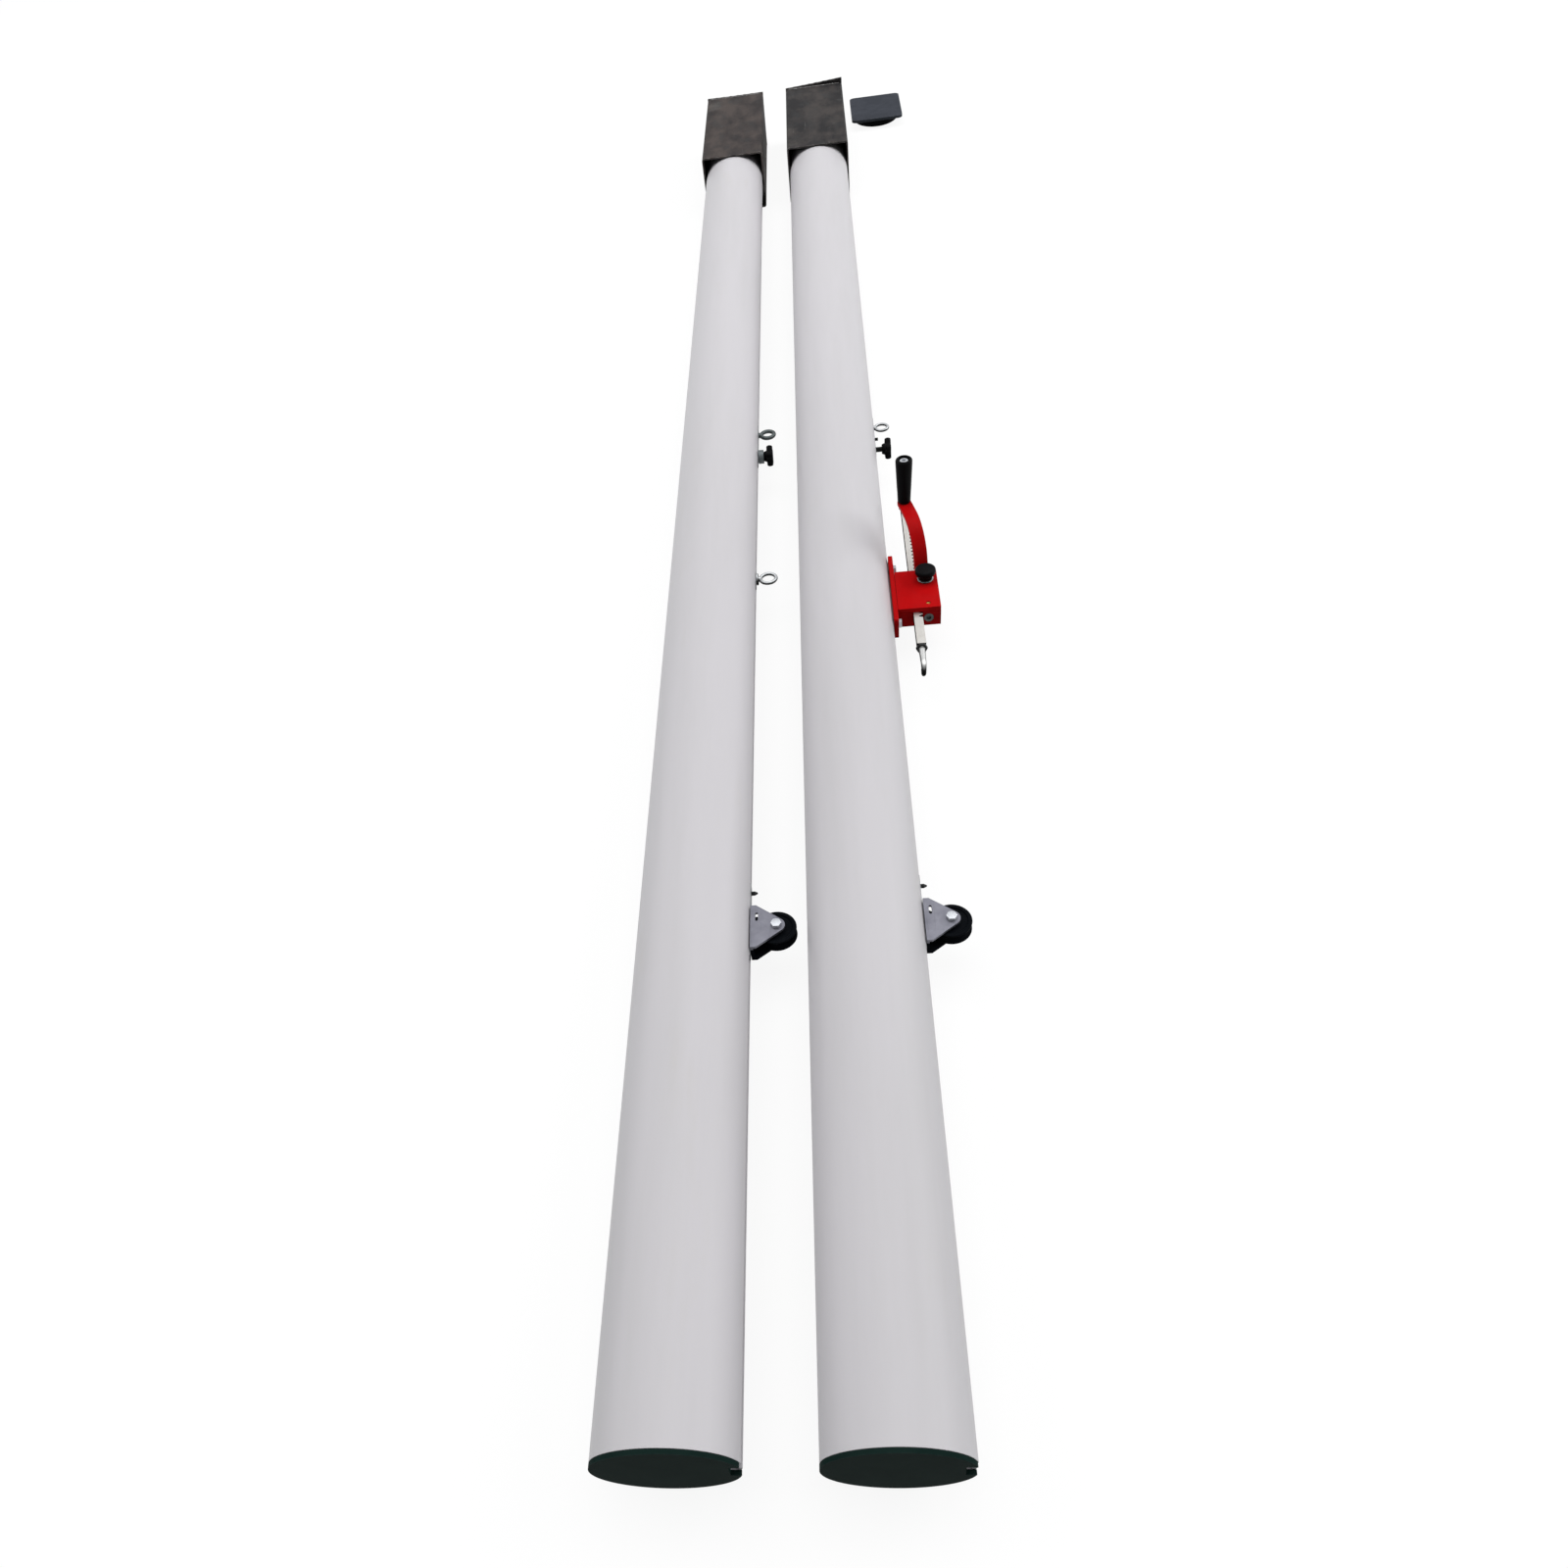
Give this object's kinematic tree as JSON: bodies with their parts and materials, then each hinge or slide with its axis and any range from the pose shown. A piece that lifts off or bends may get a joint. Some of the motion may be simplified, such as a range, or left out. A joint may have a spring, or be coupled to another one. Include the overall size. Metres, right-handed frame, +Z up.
{
  "type": "volleyball net post pair",
  "caption": "Oval aluminium volleyball posts with T-groove fittings, rack and pinion net tensioner, pulleys, sliders, ground sleeves and a sleeve cover.",
  "frame": {"origin": "bottom centre of the whole set as it lies on the floor, between the two posts and halfway along them", "axes": "+Y along the posts from their tops to their ground sleeves, +X from the plain post to the post with the tensioner, +Z up from the floor"},
  "size_m": [0.443, 3.0758, 0.1864],
  "materials": {
    "white_powder_coat": "white powder coat on extruded aluminium",
    "red_enamel": "glossy red enamel",
    "dark_green_plastic": "moulded, fine grain",
    "black_plastic": "moulded, satin",
    "slate_plastic": "moulded, fine grain",
    "raw_mill_steel": "uncoated dark mill scale",
    "zinc_plated_steel": "zinc plated, dull",
    "machined_steel": "machined and oiled",
    "blackened_steel": "blackened",
    "sintered_bronze": "sintered bronze"
  },
  "bodies": {
    "posts": {"left_post_extrusion": "white_powder_coat", "right_post_extrusion": "white_powder_coat", "left_top_cap": "dark_green_plastic", "right_top_cap": "dark_green_plastic", "left_foot_plug": "black_plastic", "right_foot_plug": "black_plastic", "sleeve_cover": "slate_plastic"},
    "left_sleeve": {"left_ground_sleeve": "raw_mill_steel", "left_sleeve_end_plate": "raw_mill_steel"},
    "left_pulley_carriage": {"left_pulley_slide_bar": "zinc_plated_steel", "left_pulley_bracket": "zinc_plated_steel", "left_pulley_axle_bolt": "zinc_plated_steel", "left_pulley_axle_nut": "zinc_plated_steel", "left_pulley_bush": "machined_steel", "left_pulley_lock_screw": "blackened_steel"},
    "left_pulley": {"left_pulley_wheel": "black_plastic"},
    "left_slider": {"left_slider_bar": "zinc_plated_steel", "left_slider_eye": "zinc_plated_steel", "left_slider_knob_spacer": "zinc_plated_steel"},
    "left_knob": {"left_slider_knob": "black_plastic", "left_slider_knob_stud": "zinc_plated_steel"},
    "right_sleeve": {"right_ground_sleeve": "raw_mill_steel", "right_sleeve_end_plate": "raw_mill_steel"},
    "right_pulley_carriage": {"right_pulley_slide_bar": "zinc_plated_steel", "right_pulley_bracket": "zinc_plated_steel", "right_pulley_axle_bolt": "zinc_plated_steel", "right_pulley_axle_nut": "zinc_plated_steel", "right_pulley_bush": "machined_steel", "right_pulley_lock_screw": "blackened_steel"},
    "right_pulley": {"right_pulley_wheel": "black_plastic"},
    "right_slider": {"right_slider_bar": "zinc_plated_steel", "right_slider_eye": "zinc_plated_steel"},
    "right_knob": {"right_slider_knob": "black_plastic", "right_slider_knob_stud": "zinc_plated_steel"},
    "anchor": {"left_anchor_slot_nut": "zinc_plated_steel"},
    "anchor_eye": {"left_anchor_eye": "zinc_plated_steel"},
    "tensioner": {"tensioner_mount_plate": "red_enamel", "tensioner_slot_nut_front": "zinc_plated_steel", "tensioner_slot_nut_rear": "zinc_plated_steel", "tensioner_mount_bolt_front": "zinc_plated_steel", "tensioner_mount_bolt_rear": "zinc_plated_steel", "tensioner_housing": "red_enamel", "tensioner_top_plate": "red_enamel", "upper_pinion_bush": "sintered_bronze", "lower_pinion_bush": "sintered_bronze", "tensioner_end_plug": "blackened_steel", "tensioner_plunger_spring": "machined_steel", "tensioner_oil_screw": "sintered_bronze"},
    "crank": {"tensioner_pinion": "machined_steel", "tensioner_crank_arm": "red_enamel", "tensioner_thrust_washer": "zinc_plated_steel", "tensioner_grip_screw": "zinc_plated_steel", "tensioner_grip_nut": "zinc_plated_steel"},
    "hub_knob": {"tensioner_hub_knob": "black_plastic"},
    "grip": {"tensioner_grip": "black_plastic"},
    "rack": {"tensioner_rack": "machined_steel", "tensioner_hook_nut": "blackened_steel", "tensioner_hook": "machined_steel", "tensioner_rack_stop": "blackened_steel"},
    "plunger": {"tensioner_plunger": "machined_steel"}
  },
  "joints": [
    {"name": "left_post_out_of_sleeve", "type": "slide", "parent": "posts", "child": "left_sleeve", "axis": [0, 1, 0], "range_m": [0, 0.36]},
    {"name": "left_pulley_slide", "type": "slide", "parent": "posts", "child": "left_pulley_carriage", "axis": [0, 1, 0], "range_m": [-0.4, 0.02]},
    {"name": "left_pulley_spin", "type": "hinge", "parent": "left_pulley_carriage", "child": "left_pulley", "pos_m": [-0.0705, -1.0146, 0.0535], "axis": [0, 0, 1], "continuous": true},
    {"name": "left_slider_slide", "type": "slide", "parent": "posts", "child": "left_slider", "axis": [0, 1, 0], "range_m": [-0.02, 0.9]},
    {"name": "left_knob_turn", "type": "hinge", "parent": "left_slider", "child": "left_knob", "pos_m": [-0.098, -0.0876, 0.0535], "axis": [1, 0, 0], "range_deg": [0, 720]},
    {"name": "right_post_out_of_sleeve", "type": "slide", "parent": "posts", "child": "right_sleeve", "axis": [0, 1, 0], "range_m": [0, 0.36]},
    {"name": "right_pulley_slide", "type": "slide", "parent": "posts", "child": "right_pulley_carriage", "axis": [0, 1, 0], "range_m": [-0.4, 0.02]},
    {"name": "right_pulley_spin", "type": "hinge", "parent": "right_pulley_carriage", "child": "right_pulley", "pos_m": [0.1085, -1.0176, 0.0535], "axis": [0, 0, 1], "continuous": true},
    {"name": "right_slider_slide", "type": "slide", "parent": "posts", "child": "right_slider", "axis": [0, 1, 0], "range_m": [-0.02, 0.9]},
    {"name": "right_knob_turn", "type": "hinge", "parent": "right_slider", "child": "right_knob", "pos_m": [0.081, -0.0996, 0.0535], "axis": [1, 0, 0], "range_deg": [0, 720]},
    {"name": "anchor_slide", "type": "slide", "parent": "posts", "child": "anchor", "axis": [0, 1, 0], "range_m": [-0.3, 0.2]},
    {"name": "anchor_eye_turn", "type": "hinge", "parent": "anchor", "child": "anchor_eye", "pos_m": [-0.098, -0.4006, 0.0535], "axis": [1, 0, 0], "range_deg": [-180, 180]},
    {"name": "tensioner_slide", "type": "slide", "parent": "posts", "child": "tensioner", "axis": [0, 1, 0], "range_m": [-0.12, 0.04]},
    {"name": "crank_turn", "type": "hinge", "parent": "tensioner", "child": "crank", "pos_m": [0.127, -0.4516, 0.0535], "axis": [0, 0, 1], "range_deg": [-257.83, 1031.32]},
    {"name": "hub_knob_turn", "type": "hinge", "parent": "crank", "child": "hub_knob", "pos_m": [0.127, -0.4516, 0.0535], "axis": [0, 0, 1], "range_deg": [0, 720]},
    {"name": "grip_spin", "type": "hinge", "parent": "crank", "child": "grip", "pos_m": [0.10621, -0.35653, 0.155], "axis": [0, 0, 1], "continuous": true},
    {"name": "rack_slide", "type": "slide", "parent": "tensioner", "child": "rack", "axis": [0, 1, 0], "range_m": [-0.18, 0.045]},
    {"name": "plunger_click", "type": "slide", "parent": "tensioner", "child": "plunger", "axis": [0, 1, 0], "range_m": [-0.002, 0], "stiffness_N_per_m": 600, "deforming": ["tensioner_plunger_spring"]}
  ],
  "couplings": [
    {"joint": "rack_slide", "follows": "crank_turn", "m_per_rad": -0.01}
  ]
}
